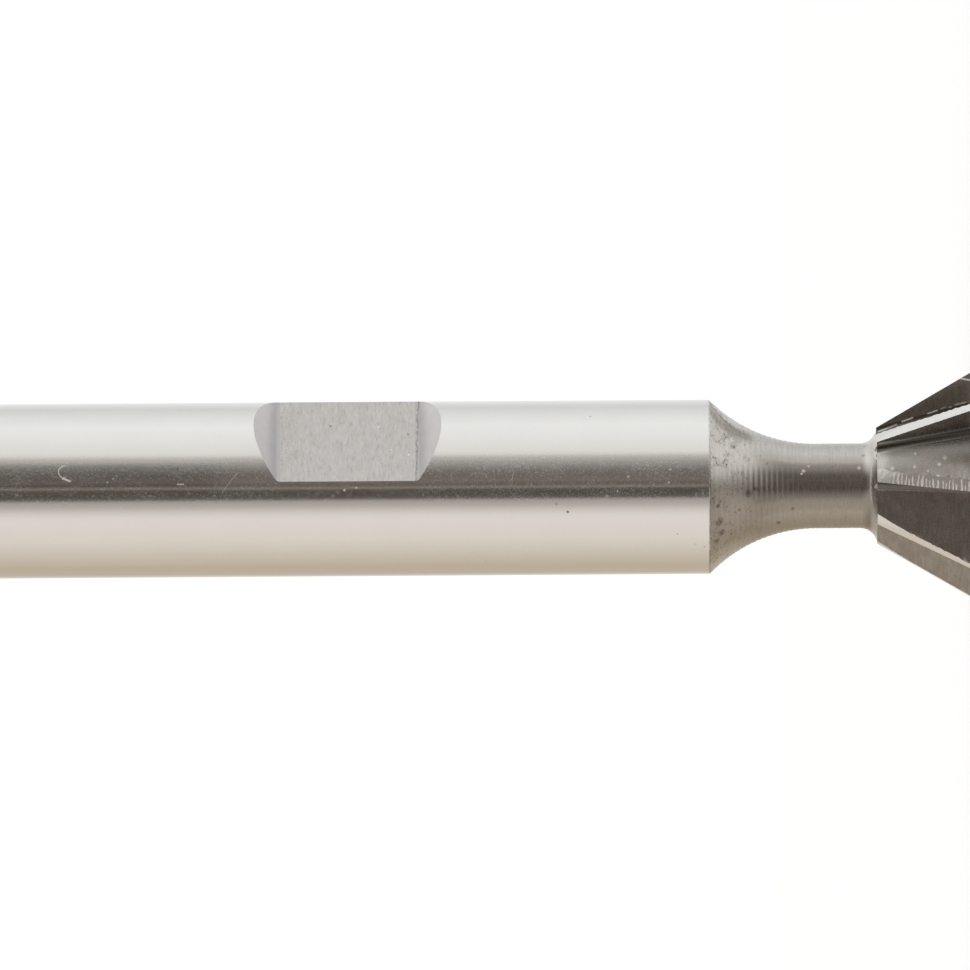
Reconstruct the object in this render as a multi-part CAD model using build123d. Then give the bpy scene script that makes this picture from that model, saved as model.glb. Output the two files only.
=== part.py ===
# Dovetail milling cutter with a side-lock shank, ground all over from one bar of high-speed steel.
#
# The tool stands on its cutting end. +Z runs up the spindle axis from the cutting end to the shank's
# end, the origin is on that axis in the plane of the teeth's outer corners, and the side-lock flat
# faces -Y. The teeth cut clockwise seen from the shank's end, so each rake face looks clockwise and
# each tooth's land and back lie counter-clockwise behind its edge. Lengths are in millimetres.

from build123d import *
from build123d.topology import SkipClean

import os
from math import asin, cos, degrees, pi, radians, sin, sqrt, tan

# Shank, 3/8 inch
SHANK_DIAMETER = 9.525
SHANK_LENGTH = 39.57
SHANK_END_CHAMFER = 0.8

# Side-lock flat, milled with sloping ends
FLAT_DEPTH = 1.27
FLAT_FLOOR_LENGTH = 7.7
FLAT_END_ANGLE = 45.0
FLAT_CORNER_RADIUS = 0.4
FLAT_CENTRE_FROM_SHANK_END = 19.84

# Neck, turned below the shank with one long sweep
NECK_DIAMETER = 4.62
NECK_SWEEP_RADIUS = 8.1
NECK_STRAIGHT_LENGTH = 2.38
NECK_FOOT_RADIUS = 1.0
NECK_FOOT_RISE = 0.7

# Head, a truncated cone that is widest at the cutting end
HEAD_DIAMETER = 12.7
HEAD_LENGTH = 5.5
DOVETAIL_ANGLE = 60.0

# Teeth on the cone
TOOTH_COUNT = 8
TOOTH_ANGLE_FROM_FLAT = 31.3
RAKE_OFFSET = 0.77
SIDE_LAND_WIDTH = 0.57
SIDE_RELIEF_ANGLE = 8.0
GULLET_DEPTH_AT_RIM = 2.3
GULLET_DEPTH_AT_NECK = 0.54
GULLET_BOTTOM_RADIUS = 0.42

# Teeth on the end
DISH_ANGLE = 1.5
END_LAND_WIDTH = 0.7
END_RELIEF_ANGLE = 6.0
END_GASH_ANGLE = 7.5
END_RECESS_DIAMETER = 4.2
END_RECESS_DEPTH = 0.9

# Centre holes that the bar was ground on
CENTRE_CONE_ANGLE = 60.0
SHANK_CENTRE_MOUTH_DIAMETER = 3.0
SHANK_CENTRE_PILOT_DIAMETER = 1.4
SHANK_CENTRE_PILOT_DEPTH = 1.6
HEAD_CENTRE_MOUTH_DIAMETER = 2.0
HEAD_CENTRE_PILOT_DIAMETER = 1.0
HEAD_CENTRE_PILOT_DEPTH = 1.1

# Radii and heights that follow from those sizes
SHANK_RADIUS = SHANK_DIAMETER / 2
NECK_RADIUS = NECK_DIAMETER / 2
RIM_RADIUS = HEAD_DIAMETER / 2
CONE_SLOPE = 1 / tan(radians(DOVETAIL_ANGLE))
HEAD_TOP_RADIUS = RIM_RADIUS - HEAD_LENGTH * CONE_SLOPE
SWEEP_DROP = SHANK_RADIUS - NECK_RADIUS
SWEEP_LENGTH = sqrt(NECK_SWEEP_RADIUS**2 - (NECK_SWEEP_RADIUS - SWEEP_DROP) ** 2)
FOOT_LENGTH = sqrt(NECK_FOOT_RADIUS**2 - (NECK_FOOT_RADIUS - NECK_FOOT_RISE) ** 2)

NECK_START = HEAD_LENGTH + FOOT_LENGTH
SWEEP_START = NECK_START + NECK_STRAIGHT_LENGTH
SHANK_START = SWEEP_START + SWEEP_LENGTH
OVERALL_LENGTH = SHANK_START + SHANK_LENGTH
FLAT_CENTRE = OVERALL_LENGTH - FLAT_CENTRE_FROM_SHANK_END

TOOTH_PITCH = 2 * pi / TOOTH_COUNT
FLAT_DIRECTION = -90.0
REACH = 2 * HEAD_DIAMETER
CLEAR = 0.5


def arc_middle(centre_r, centre_z, radius, angle):
    """The point of a profile arc that lies at an angle from the outward radial direction."""
    return (centre_r + radius * cos(angle), centre_z + radius * sin(angle))


def dish_height(radius):
    """How far the dished end face stands above the plane of the outer corners."""
    return (RIM_RADIUS - radius) * tan(radians(DISH_ANGLE))


def turned_front():
    """The bar as turned and ground, from the cutting end to the flat's middle, with no tooth cut."""
    recess_radius = END_RECESS_DIAMETER / 2
    recess_rim = dish_height(recess_radius)
    sweep_centre = (NECK_RADIUS + NECK_SWEEP_RADIUS, SWEEP_START)
    sweep_turn = asin(SWEEP_LENGTH / NECK_SWEEP_RADIUS)
    foot_centre = (NECK_RADIUS + NECK_FOOT_RADIUS, NECK_START)
    foot_turn = asin(FOOT_LENGTH / NECK_FOOT_RADIUS)
    foot_top = (NECK_RADIUS + NECK_FOOT_RISE, HEAD_LENGTH)
    with BuildPart() as blank:
        with BuildSketch(Plane.XZ):
            with BuildLine():
                Polyline(
                    (0, FLAT_CENTRE),
                    (0, END_RECESS_DEPTH),
                    (recess_radius, END_RECESS_DEPTH),
                    (recess_radius, recess_rim),
                    (RIM_RADIUS, 0),
                    (HEAD_TOP_RADIUS, HEAD_LENGTH),
                    foot_top,
                )
                ThreePointArc(
                    foot_top,
                    arc_middle(*foot_centre, NECK_FOOT_RADIUS, pi + foot_turn / 2),
                    (NECK_RADIUS, NECK_START),
                )
                Line((NECK_RADIUS, NECK_START), (NECK_RADIUS, SWEEP_START))
                ThreePointArc(
                    (NECK_RADIUS, SWEEP_START),
                    arc_middle(*sweep_centre, NECK_SWEEP_RADIUS, pi - sweep_turn / 2),
                    (SHANK_RADIUS, SHANK_START),
                )
                Polyline(
                    (SHANK_RADIUS, SHANK_START),
                    (SHANK_RADIUS, FLAT_CENTRE),
                    (0, FLAT_CENTRE),
                )
            make_face()
        revolve(axis=Axis.Z)
    return blank.part


def shank_rear():
    """The rest of the shank, from the flat's middle to its chamfered end."""
    bar = Cylinder(
        radius=SHANK_RADIUS,
        height=FLAT_CENTRE_FROM_SHANK_END,
        align=(Align.CENTER, Align.CENTER, Align.MIN),
    )
    end_edge = bar.edges().sort_by(Axis.Z)[-1]
    return Pos(0, 0, FLAT_CENTRE) * chamfer(end_edge, SHANK_END_CHAMFER)


def centre_hole(mouth_diameter, pilot_diameter, pilot_depth):
    """A centre hole to cut, with its mouth at the origin, going up."""
    mouth_radius = mouth_diameter / 2
    pilot_radius = pilot_diameter / 2
    half_angle = radians(CENTRE_CONE_ANGLE / 2)
    cone_depth = (mouth_radius - pilot_radius) / tan(half_angle)
    over = CLEAR * tan(half_angle)
    cone = Cone(
        bottom_radius=mouth_radius + over,
        top_radius=pilot_radius,
        height=cone_depth + CLEAR,
        align=(Align.CENTER, Align.CENTER, Align.MIN),
    )
    pilot = Cylinder(
        radius=pilot_radius,
        height=pilot_depth,
        align=(Align.CENTER, Align.CENTER, Align.MIN),
    )
    return Pos(0, 0, -CLEAR) * cone + Pos(0, 0, cone_depth) * pilot


def side_lock_flat():
    """The cut that leaves the side-lock flat, with its floor facing -Y."""
    floor_y = FLAT_DEPTH - SHANK_RADIUS
    opening_y = -SHANK_RADIUS - CLEAR
    run_out = (FLAT_DEPTH + CLEAR) / tan(radians(FLAT_END_ANGLE))
    half_floor = FLAT_FLOOR_LENGTH / 2
    outline = Polyline(
        (floor_y, FLAT_CENTRE - half_floor),
        (floor_y, FLAT_CENTRE + half_floor),
        (opening_y, FLAT_CENTRE + half_floor + run_out),
        (opening_y, FLAT_CENTRE - half_floor - run_out),
        close=True,
    )
    cut = extrude(Plane.YZ * make_face(outline), amount=SHANK_DIAMETER, both=True)
    floor = cut.faces().sort_by(Axis.Y)[-1]
    corners = floor.edges().filter_by(Axis.X)
    return fillet(corners, FLAT_CORNER_RADIUS)


def beyond(point, normal):
    """A block that fills the side of a plane that its normal points to."""
    block = Box(2 * REACH, 2 * REACH, REACH, align=(Align.CENTER, Align.CENTER, Align.MIN))
    return Plane(origin=point, z_dir=normal) * block


def slab(low, high):
    """All that lies between two heights on the axis."""
    middle = (low + high) / 2
    return Pos(0, 0, middle) * Box(2 * REACH, 2 * REACH, high - low)


def along_face(radius):
    """Where a circle about the axis meets a rake face, measured along the face from the axis."""
    return sqrt(radius**2 - RAKE_OFFSET**2)


# One tooth is drawn in its own frame. X runs outward along its rake face, which is the plane
# Y = RAKE_OFFSET, the tooth's body is on the +Y side, and the space that it cuts into on the -Y side.
RIM_CORNER = Vector(along_face(RIM_RADIUS), RAKE_OFFSET, 0)
TOP_CORNER = Vector(along_face(HEAD_TOP_RADIUS), RAKE_OFFSET, HEAD_LENGTH)
EDGE_LEAD = asin(RAKE_OFFSET / RIM_RADIUS)
RAKE_NORMAL = Vector(0, -1, 0)


def tooth_gullet():
    """The space in front of one rake face, down to the back of the tooth ahead."""
    bottom_at_rim = RIM_CORNER - Vector(GULLET_DEPTH_AT_RIM, 0, 0)
    bottom_at_top = TOP_CORNER - Vector(GULLET_DEPTH_AT_NECK, 0, 0)
    heel_angle = EDGE_LEAD + SIDE_LAND_WIDTH / RIM_RADIUS - TOOTH_PITCH
    heel_ahead = Vector(RIM_RADIUS * cos(heel_angle), RIM_RADIUS * sin(heel_angle), 0)
    back_normal = (heel_ahead - bottom_at_rim).cross(bottom_at_top - bottom_at_rim)
    if back_normal.X < 0:
        back_normal = -back_normal
    space = beyond(RIM_CORNER, RAKE_NORMAL) & beyond(bottom_at_rim, back_normal)
    space = space & slab(-CLEAR, NECK_START)
    bottom = space.edges().sort_by_distance(bottom_at_rim)[0]
    return fillet(bottom, GULLET_BOTTOM_RADIUS)


def under_end(point, slope):
    """The space under a plane that follows the dish and rises backward from a point."""
    dish = radians(DISH_ANGLE)
    rise = radians(slope)
    edge = Vector(-cos(dish), 0, sin(dish))
    backward = Vector(0, cos(rise), sin(rise))
    return beyond(point, edge.cross(backward))


END_HEEL = RIM_CORNER + Vector(0, END_LAND_WIDTH, END_LAND_WIDTH * tan(radians(END_RELIEF_ANGLE)))


def end_gash():
    """The space in front of one end edge, down to the land of the end tooth ahead."""
    behind_land = under_end(END_HEEL, END_GASH_ANGLE) & beyond(END_HEEL, -RAKE_NORMAL)
    return beyond(RIM_CORNER, RAKE_NORMAL) & Rot(0, 0, -degrees(TOOTH_PITCH)) * behind_land


def side_relief():
    """What is ground off behind one edge on the cone, so that its land clears the work."""
    edge = TOP_CORNER - RIM_CORNER
    relief = radians(SIDE_RELIEF_ANGLE)
    backward = Vector(-sin(EDGE_LEAD + relief), cos(EDGE_LEAD + relief), 0)
    land_normal = backward.cross(edge)
    if land_normal.X < 0:
        land_normal = -land_normal
    return beyond(RIM_CORNER, land_normal) & slab(-CLEAR, HEAD_LENGTH)


def end_relief():
    """What is ground off behind one end edge."""
    land = Pos(0, RAKE_OFFSET, -CLEAR) * Box(
        REACH,
        END_LAND_WIDTH,
        END_RECESS_DEPTH + CLEAR,
        align=(Align.MIN, Align.MIN, Align.MIN),
    )
    return land & under_end(RIM_CORNER, END_RELIEF_ANGLE)


def all_teeth(tool):
    """Copies of one tooth's cut, one for each tooth."""
    first = FLAT_DIRECTION + TOOTH_ANGLE_FROM_FLAT
    return [Rot(0, 0, first + i * degrees(TOOTH_PITCH)) * tool for i in range(TOOTH_COUNT)]


def dovetail_cutter():
    """The finished tool, one solid."""
    front = turned_front()
    head_centre = centre_hole(
        HEAD_CENTRE_MOUTH_DIAMETER, HEAD_CENTRE_PILOT_DIAMETER, HEAD_CENTRE_PILOT_DEPTH
    )
    front = front - Pos(0, 0, END_RECESS_DEPTH) * head_centre
    for cut in (tooth_gullet(), end_gash(), side_relief(), end_relief()):
        front = front - all_teeth(cut)
    shank_centre = centre_hole(
        SHANK_CENTRE_MOUTH_DIAMETER, SHANK_CENTRE_PILOT_DIAMETER, SHANK_CENTRE_PILOT_DEPTH
    )
    rear = shank_rear() - Pos(0, 0, OVERALL_LENGTH) * Rot(180, 0, 0) * shank_centre
    flat_cut = side_lock_flat()
    # The seam where the two lengths meet stays, because the flat lies half way along the shank. Each
    # length then has a full circle of wall at its own middle, where the shank's radius is measured.
    with SkipClean():
        return front + rear - flat_cut


os.makedirs("parts", exist_ok=True)
export_step(dovetail_cutter(), "parts/dovetail_cutter.step")
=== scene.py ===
"""The dovetail cutter's looks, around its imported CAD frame. Lengths are in millimetres until scaled."""

import math

import bmesh
import bpy
from mathutils import Matrix, Vector, noise


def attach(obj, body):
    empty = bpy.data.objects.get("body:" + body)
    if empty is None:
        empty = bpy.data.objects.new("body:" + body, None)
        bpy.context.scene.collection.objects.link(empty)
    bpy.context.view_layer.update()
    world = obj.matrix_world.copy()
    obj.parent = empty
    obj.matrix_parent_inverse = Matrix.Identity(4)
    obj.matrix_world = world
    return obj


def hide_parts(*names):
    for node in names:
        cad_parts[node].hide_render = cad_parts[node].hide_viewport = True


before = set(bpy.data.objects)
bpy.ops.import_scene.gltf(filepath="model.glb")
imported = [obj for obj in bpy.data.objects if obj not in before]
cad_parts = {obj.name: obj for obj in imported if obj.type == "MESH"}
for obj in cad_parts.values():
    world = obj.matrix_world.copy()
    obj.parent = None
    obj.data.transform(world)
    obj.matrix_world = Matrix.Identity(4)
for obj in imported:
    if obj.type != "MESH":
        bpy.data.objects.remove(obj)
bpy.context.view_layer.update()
MM = 0.001

# The CAD source's named sizes
SHANK_RADIUS = 4.7625
SHANK_START = 14.6405
SHANK_END = 54.2105
SHANK_CHAMFER = 0.8
FLAT_DEPTH = 1.27
FLAT_FLOOR_LENGTH = 7.7
FLAT_CENTRE = 34.3705
NECK_RADIUS = 2.31
NECK_SWEEP_RADIUS = 8.1
SWEEP_START = 8.8339
NECK_FOOT_RADIUS = 1.0
NECK_START = 6.4539
HEAD_LENGTH = 5.5
RIM_RADIUS = 6.35
DOVETAIL_ANGLE = 60.0
END_RECESS_RADIUS = 2.1
END_RECESS_DEPTH = 0.9
TOOTH_COUNT = 8
FIRST_TOOTH = math.radians(-90 + 31.3)
RAKE_OFFSET = 0.77

# Half the flat's whole length, because its ends slope at 45 degrees
FLAT_HALF_LENGTH = FLAT_FLOOR_LENGTH / 2 + FLAT_DEPTH

# How far from a height a point still counts as at it
SLACK = 0.001

# How the photograph was taken
VIEW_AZIMUTH = -48.0
VIEW_ROLL = 0.384
PIXELS_PER_MM = 18.3
FRAME_PIXELS = 970
HEAD_BACK_PIXEL = 876.5
AXIS_PIXEL = 487.9
CAMERA_DISTANCE = 1200.0
SENSOR_WIDTH = 36.0

# The camera's side of the tool, the side that it sees on top, and the side near the bottom
TOWARDS_CAMERA = math.radians(VIEW_AZIMUTH - 90)
NEAR = Vector((math.cos(TOWARDS_CAMERA), math.sin(TOWARDS_CAMERA), 0))
ABOVE = Vector((-NEAR.y, NEAR.x, 0))
LOW_TURN = TOWARDS_CAMERA - math.radians(78)
LOW_SIDE = (math.cos(LOW_TURN), math.sin(LOW_TURN), 0)

# Teeth that the photograph shows, by their number round the tool
MIDDLE_TOOTH = 6
UPPER_TOOTH = 7
TOP_TOOTH = 0
LOWER_TOOTH = 5


def make_camera():
    """A long lens square to the tool's axis, turned so that the head is on the right."""
    across = Vector((0, 0, -1))
    roll = math.radians(VIEW_ROLL)
    right = across * math.cos(roll) - ABOVE * math.sin(roll)
    up = across * math.sin(roll) + ABOVE * math.cos(roll)
    middle = FRAME_PIXELS / 2
    height = HEAD_LENGTH + (HEAD_BACK_PIXEL - middle) / PIXELS_PER_MM
    target = Vector((0, 0, height)) + ABOVE * ((AXIS_PIXEL - middle) / PIXELS_PER_MM)
    data = bpy.data.cameras.new("camera")
    data.sensor_width = SENSOR_WIDTH
    data.lens = SENSOR_WIDTH * CAMERA_DISTANCE / (FRAME_PIXELS / PIXELS_PER_MM)
    data.clip_start = 0.01
    data.clip_end = 10.0
    camera = bpy.data.objects.new("camera", data)
    bpy.context.scene.collection.objects.link(camera)
    place = Matrix((right, up, NEAR)).transposed().to_4x4()
    place.translation = (target + NEAR * CAMERA_DISTANCE) * MM
    camera.matrix_world = place
    bpy.context.scene.camera = camera


def height_above_axis(x, y):
    """How far above the tool's axis a pixel of the photograph lies."""
    axis_y = AXIS_PIXEL - (x - FRAME_PIXELS / 2) * math.tan(math.radians(VIEW_ROLL))
    return (axis_y - y) / PIXELS_PER_MM


def height_on_tool(x):
    """The tool's height, from its cutting end, that the photograph shows at a pixel's column."""
    return HEAD_LENGTH + (HEAD_BACK_PIXEL - x) / PIXELS_PER_MM


def on_wall(x, y, radius):
    """The point of a round wall that the photograph shows at a pixel."""
    turn = TOWARDS_CAMERA + math.asin(height_above_axis(x, y) / radius)
    return (radius * math.cos(turn), radius * math.sin(turn), height_on_tool(x))


def on_plane(x, y, normal, distance):
    """The point of an upright plane that the photograph shows at a pixel."""
    above = ABOVE * height_above_axis(x, y)
    point = above + NEAR * ((distance - above.dot(normal)) / NEAR.dot(normal))
    return (point.x, point.y, height_on_tool(x))


def on_upright(x, y):
    """The point of the upright plane through the axis, square to the camera's line, at a pixel."""
    return Vector((0, 0, height_on_tool(x))) + ABOVE * height_above_axis(x, y)


def on_shank(x, y):
    """The point of the shank's wall that the photograph shows at a pixel."""
    return on_wall(x, y, SHANK_RADIUS)


def node(tree, kind, **settings):
    """A new shader node with its settings made."""
    made = tree.nodes.new(kind)
    for name, value in settings.items():
        setattr(made, name, value)
    return made


def maths(tree, operation, a, b=None, clamp=False):
    """Arithmetic on numbers, node outputs or both."""
    made = node(tree, "ShaderNodeMath", operation=operation, use_clamp=clamp)
    for i, value in enumerate((a, b)):
        if value is None:
            continue
        if isinstance(value, (int, float)):
            made.inputs[i].default_value = value
        else:
            tree.links.new(value, made.inputs[i])
    return made.outputs[0]


def span(tree, value, low, high, to_low=0.0, to_high=1.0, smooth=True):
    """Turns a value's range into another one, and stays at its ends for values past the range."""
    made = node(
        tree, "ShaderNodeMapRange", interpolation_type="SMOOTHSTEP" if smooth else "LINEAR"
    )
    tree.links.new(value, made.inputs["Value"])
    made.inputs["From Min"].default_value = low
    made.inputs["From Max"].default_value = high
    made.inputs["To Min"].default_value = to_low
    made.inputs["To Max"].default_value = to_high
    return made.outputs[0]


def blend(tree, factor, a, b):
    """The colour between two that a factor from nought to one gives."""
    made = node(tree, "ShaderNodeMix", data_type="RGBA")
    tree.links.new(factor, made.inputs["Factor"])
    for value, entry in ((a, made.inputs[6]), (b, made.inputs[7])):
        if isinstance(value, tuple):
            entry.default_value = (*value, 1)
        else:
            tree.links.new(value, entry)
    return made.outputs[2]


# The room that the steel mirrors, by the angle in degrees round the tool from the camera's side
ROOM = (
    (-180, (0.85, 0.82, 0.78)),
    (-150, (0.60, 0.52, 0.42)),
    (-125, (0.61, 0.52, 0.40)),
    (-95, (0.74, 0.66, 0.56)),
    (-70, (0.86, 0.79, 0.70)),
    (-45, (0.90, 0.83, 0.77)),
    (-36, (0.87, 0.81, 0.76)),
    (-29, (0.73, 0.68, 0.63)),
    (-22, (0.53, 0.49, 0.455)),
    (-16.5, (0.45, 0.405, 0.375)),
    (-14.5, (0.35, 0.32, 0.285)),
    (-12.5, (0.14, 0.125, 0.11)),
    (-9, (0.105, 0.093, 0.08)),
    (-4, (0.095, 0.085, 0.065)),
    (-0.3, (0.12, 0.105, 0.085)),
    (0.7, (0.26, 0.23, 0.20)),
    (2.3, (0.26, 0.23, 0.20)),
    (3.3, (0.16, 0.135, 0.115)),
    (6, (0.145, 0.12, 0.10)),
    (10, (0.195, 0.165, 0.145)),
    (18, (0.175, 0.155, 0.135)),
    (24, (0.21, 0.19, 0.17)),
    (34, (0.38, 0.36, 0.335)),
    (41.5, (0.57, 0.54, 0.505)),
    (46.5, (0.84, 0.82, 0.76)),
    (52, (0.90, 0.88, 0.83)),
    (70, (0.97, 0.96, 0.94)),
    (92, (1.02, 1.02, 1.00)),
    (115, (0.90, 0.90, 0.89)),
    (135, (0.78, 0.78, 0.77)),
    (160, (0.90, 0.90, 0.89)),
    (180, (0.92, 0.91, 0.90)),
)
ROOM_ENDS = (0.75, 0.73, 0.70)
WINDOW = (1.6, 1.58, 1.54)
PLAIN_WHITE = (1.03, 1.03, 1.03)


def make_world():
    """A white world, in which the steel mirrors a room that dims towards the camera's side."""
    world = bpy.data.worlds.new("studio")
    bpy.context.scene.world = world
    world.use_nodes = True
    tree = world.node_tree
    tree.nodes.clear()
    link = tree.links.new
    where = node(tree, "ShaderNodeTexCoord")
    turned = node(tree, "ShaderNodeVectorRotate", rotation_type="Z_AXIS")
    turned.inputs["Angle"].default_value = -TOWARDS_CAMERA
    link(where.outputs["Generated"], turned.inputs["Vector"])
    parts = node(tree, "ShaderNodeSeparateXYZ")
    link(turned.outputs[0], parts.inputs[0])
    around = maths(tree, "ARCTAN2", parts.outputs["Y"], parts.outputs["X"])
    ramp = node(tree, "ShaderNodeValToRGB")
    link(maths(tree, "ADD", maths(tree, "DIVIDE", around, 2 * math.pi), 0.5), ramp.inputs[0])
    band = ramp.color_ramp
    for element, (angle, colour) in zip(band.elements, (ROOM[0], ROOM[-1])):
        element.position = (angle + 180) / 360
        element.color = (*colour, 1)
    for angle, colour in ROOM[1:-1]:
        band.elements.new((angle + 180) / 360).color = (*colour, 1)
    up_or_down = maths(tree, "ABSOLUTE", parts.outputs["Z"])
    to_ends = span(tree, up_or_down, 0.5, 0.95, 0.0, 0.45)
    room = blend(tree, to_ends, ramp.outputs["Color"], ROOM_ENDS)
    room = blend(tree, span(tree, parts.outputs["Z"], 0.90, 0.965), room, WINDOW)
    paths = node(tree, "ShaderNodeLightPath")
    plain = maths(tree, "MAXIMUM", paths.outputs["Is Camera Ray"], paths.outputs["Is Diffuse Ray"])
    sky = node(tree, "ShaderNodeBackground")
    link(blend(tree, plain, room, PLAIN_WHITE), sky.inputs["Color"])
    sky.inputs["Strength"].default_value = 1.0
    link(sky.outputs[0], node(tree, "ShaderNodeOutputWorld").inputs["Surface"])


def make_floor():
    """A plain white floor under the tool, 1.2 metres square."""
    mesh = bpy.data.meshes.new("floor")
    half = 0.6
    mesh.from_pydata(
        [(-half, -half, 0), (half, -half, 0), (half, half, 0), (-half, half, 0)], [], [(0, 1, 2, 3)]
    )
    floor = bpy.data.objects.new("floor", mesh)
    bpy.context.scene.collection.objects.link(floor)
    material = bpy.data.materials.new("floor")
    material.use_nodes = True
    shader = material.node_tree.nodes["Principled BSDF"]
    shader.inputs["Base Color"].default_value = (1, 1, 1, 1)
    shader.inputs["Roughness"].default_value = 1.0
    shader.inputs["Specular IOR Level"].default_value = 0.0
    mesh.materials.append(material)
    floor.visible_glossy = False


def profile(z):
    """The neck's radius and its slope along the axis at a height."""
    if z <= NECK_START:
        drop = NECK_START - z
        run = math.sqrt(max(NECK_FOOT_RADIUS**2 - drop**2, 1e-9))
        return NECK_RADIUS + NECK_FOOT_RADIUS - run, -drop / run
    if z <= SWEEP_START:
        return NECK_RADIUS, 0.0
    rise = z - SWEEP_START
    run = math.sqrt(max(NECK_SWEEP_RADIUS**2 - rise**2, 1e-9))
    return NECK_RADIUS + NECK_SWEEP_RADIUS - run, rise / run


def slice_between(bm, low, high, planes):
    """Cuts the faces whose middles lie between two heights along each plane, which moves nothing."""
    faces = [f for f in bm.faces if low < f.calc_center_median().z < high]
    region = set(faces)
    for f in faces:
        region.update(f.edges)
        region.update(f.verts)
    region = list(region)
    for point, normal in planes:
        cut = bmesh.ops.bisect_plane(bm, geom=region, dist=1e-5, plane_co=point, plane_no=normal)
        region = cut["geom"]


def tooth_frames():
    """The two horizontal directions of each tooth: outward along its rake face, and backward."""
    frames = []
    for i in range(TOOTH_COUNT):
        turn = FIRST_TOOTH + i * 2 * math.pi / TOOTH_COUNT
        frames.append(
            (Vector((math.cos(turn), math.sin(turn), 0)), Vector((-math.sin(turn), math.cos(turn), 0)))
        )
    return frames


# The worn corner where the neck's sweep meets the shank
EDGE_BREAK_LENGTH = 0.06
EDGE_BREAK_DEPTH = 0.04

SHANK, FLAT, SLOPE, NECK, EDGE, LAND, RAKE, BACK, ROOT, END = range(10)
GULLET = (RAKE, BACK, ROOT)

# How far in degrees a gullet's wall has turned from its tooth's outward direction where the neck's
# foot ends and the root begins, and where the root ends and the tooth's back begins
ROOT_LEAN = -50.0
BACK_LEAN = 46.0


def shank_kind(middle, normal):
    """Which finish a face of the shank has."""
    in_flat = abs(middle.z - FLAT_CENTRE) < FLAT_HALF_LENGTH + 0.08
    in_flat = in_flat and normal.y < -0.5 and abs(normal.x) < 0.02
    if in_flat and abs(normal.z) > 0.02:
        return SLOPE
    if in_flat and abs(middle.y + SHANK_RADIUS - FLAT_DEPTH) < 0.005:
        return FLAT
    return EDGE if middle.z < SHANK_START + EDGE_BREAK_LENGTH else SHANK


def head_kind(middle, normal, frames):
    """Which finish a face of the head has."""
    radius = math.hypot(middle.x, middle.y)
    in_recess = middle.z < END_RECESS_DEPTH + 0.1 and radius < END_RECESS_RADIUS + 0.1
    if normal.z < -0.75 or in_recess:
        return END
    for outward, backward in frames:
        if normal.dot(backward) < -0.99 and abs(middle.dot(backward) - RAKE_OFFSET) < 0.02:
            return RAKE
    if abs(normal.z - math.cos(math.radians(DOVETAIL_ANGLE))) < 0.06:
        return LAND
    for number, (outward, backward) in enumerate(frames):
        following = frames[(number + 1) % TOOTH_COUNT][1]
        behind = middle.dot(backward) > RAKE_OFFSET and middle.dot(outward) > 0
        if behind and middle.dot(following) < RAKE_OFFSET + SLACK:
            lean = math.degrees(math.atan2(normal.dot(backward), normal.dot(outward)))
            if lean < ROOT_LEAN:
                return NECK
            return ROOT if lean < BACK_LEAN else BACK
    return BACK


def kind_of(face, frames):
    """Which finish a face of the tool has."""
    middle = face.calc_center_median()
    if middle.z > SHANK_START - 0.02:
        return shank_kind(middle, face.normal)
    if middle.z > HEAD_LENGTH - 0.005:
        return NECK
    return head_kind(middle, face.normal, frames)


# How much wider each tooth's land was left than the others, at the head's back and at its rim
LAND_WIDENING = {
    UPPER_TOOTH: (-0.04, -0.06),
    LOWER_TOOTH: (-0.17, -0.33),
    MIDDLE_TOOTH: (-0.1, 0.05),
}
LAND_WIDTH_AT_RIM = 0.615
LAND_WIDTH_AT_BACK = 0.74

# How far behind the heel the tooth's back still moves with it, and how far from the axis it starts
BACK_FADE = 1.3
TOOTH_FOOT = 1.6

# The shares of a tooth's backward and inward directions that lead along its land at one height
LAND_BACKWARD = 0.966
LAND_INWARD = 0.259

# How uneven the lands' edges are, and how often they waver along the tooth and from tooth to tooth
CUTTING_EDGE_WAVER = 0.022
HEEL_WAVER = 0.07
WAVERS_PER_MM = 5.0
WAVERS_PER_RADIAN = 3.0


def widen_lands(bm, frames):
    """Moves the heels of some teeth, because the lands were ground by hand and differ a little."""
    for number, (at_back, at_rim) in LAND_WIDENING.items():
        outward, backward = frames[number]
        level = (backward * LAND_BACKWARD - outward * LAND_INWARD).normalized()
        for v in bm.verts:
            z = v.co.z
            depth = v.co.dot(backward) - RAKE_OFFSET
            if z > HEAD_LENGTH + SLACK or depth < 0.01 or v.co.dot(outward) < TOOTH_FOOT:
                continue
            if not any(f.material_index in (LAND, *GULLET) for f in v.link_faces):
                continue
            share = z / HEAD_LENGTH
            width = LAND_WIDTH_AT_RIM + (LAND_WIDTH_AT_BACK - LAND_WIDTH_AT_RIM) * share
            heel = LAND_BACKWARD * width
            if depth <= heel:
                strength = depth / heel
            elif depth < heel + BACK_FADE:
                strength = (1 - (depth - heel) / BACK_FADE) ** 2
            else:
                continue
            v.co += level * (strength * (at_rim + (at_back - at_rim) * share))


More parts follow.
